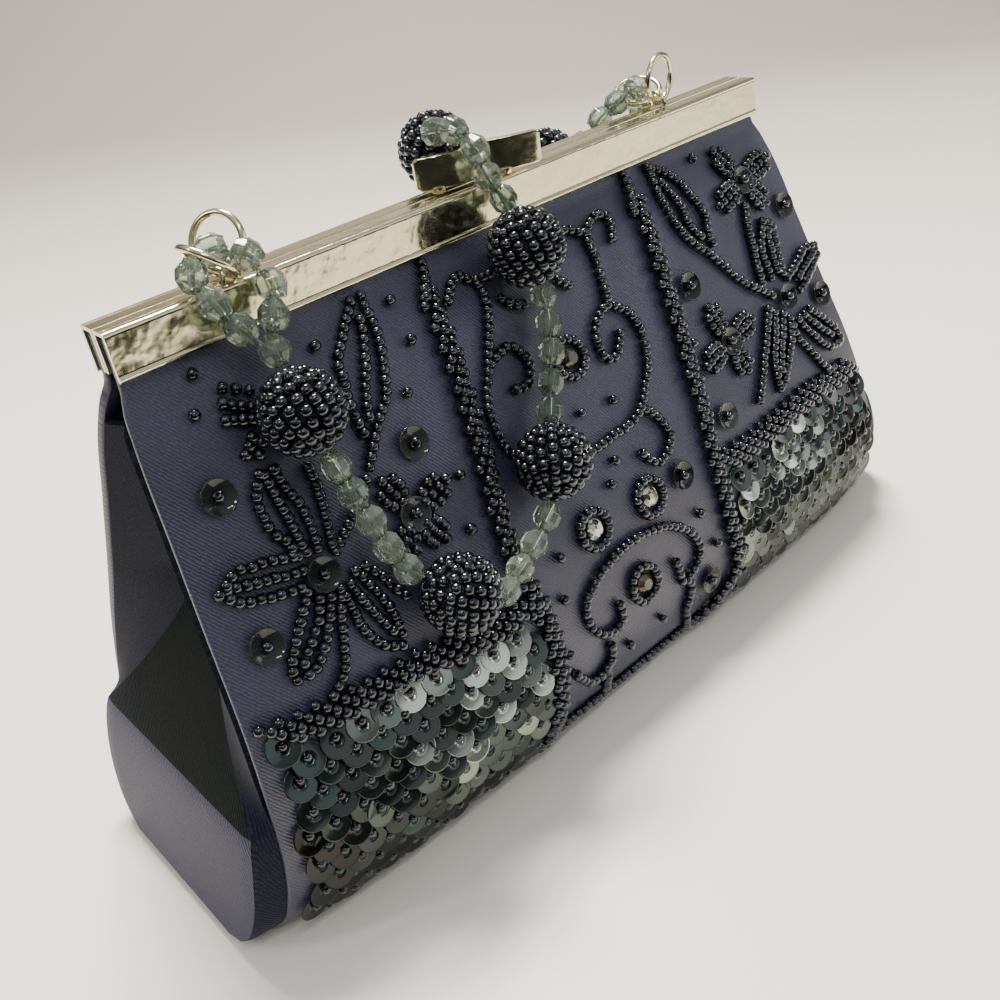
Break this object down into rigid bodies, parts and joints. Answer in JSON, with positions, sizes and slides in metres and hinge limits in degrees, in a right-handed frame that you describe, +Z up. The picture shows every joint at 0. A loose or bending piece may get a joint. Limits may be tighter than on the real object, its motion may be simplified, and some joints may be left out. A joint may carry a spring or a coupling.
{
  "type": "beaded clutch",
  "caption": "Beaded evening clutch: stiff satin body with folded sides on a hinged nickel frame with a twist clasp, bead and sequin front, and a bead strap on rings.",
  "frame": {"origin": "on the table under the middle of the bag's flat bottom", "axes": "+X along the frame to the wearer's right seen from the front, -Y out of the beaded front, +Z up"},
  "size_m": [0.2246, 0.0853, 0.1348],
  "materials": {
    "satin": "slate purple duchess satin over board",
    "nickel": "polished nickel plate, finely hammered",
    "ball_beads": "gunmetal seed beads woven over a ball",
    "facet_beads": "pale grey green faceted acrylic",
    "sequins": "gunmetal lustre sequins",
    "clear_stone": "foiled clear crystal",
    "smoke_stone": "foiled smoke crystal"
  },
  "bodies": {
    "root": {"bead_ball_1": "ball_beads", "bead_ball_2": "ball_beads", "bead_ball_3": "ball_beads", "bead_ball_4": "ball_beads", "bead_ball_5": "ball_beads", "bead_ball_6": "ball_beads", "bead_loop_left": "facet_beads", "bead_loop_right": "facet_beads", "bead_run_1": "facet_beads", "bead_run_2": "facet_beads", "bead_run_3": "facet_beads", "bead_run_4": "facet_beads", "bead_run_5": "facet_beads", "clasp_bar_left": "nickel", "clasp_bar_right": "nickel", "crystal_clear_left": "clear_stone", "crystal_clear_right": "clear_stone", "crystal_smoke_lower": "smoke_stone", "crystal_smoke_upper": "smoke_stone", "eyelet_left": "nickel", "eyelet_right": "nickel", "frame_front": "nickel", "frame_rear": "nickel", "gusset_left": "satin", "gusset_right": "satin", "ring_left_strap": "nickel", "ring_left_upright": "nickel", "ring_right_strap": "nickel", "ring_right_upright": "nickel", "satin_body": "satin", "sequin_cup_inner_left": "sequins", "sequin_cup_inner_right": "sequins", "sequin_cup_lower": "sequins", "sequin_cup_middle": "sequins", "sequin_cup_middle_upper": "sequins", "sequin_cup_outer_left": "sequins", "sequin_cup_outer_right": "sequins", "sequin_cup_upper_left": "sequins", "sequin_cup_upper_right": "sequins", "sequin_field_left": "sequins", "sequin_field_right": "sequins"}
  },
  "joints": []
}
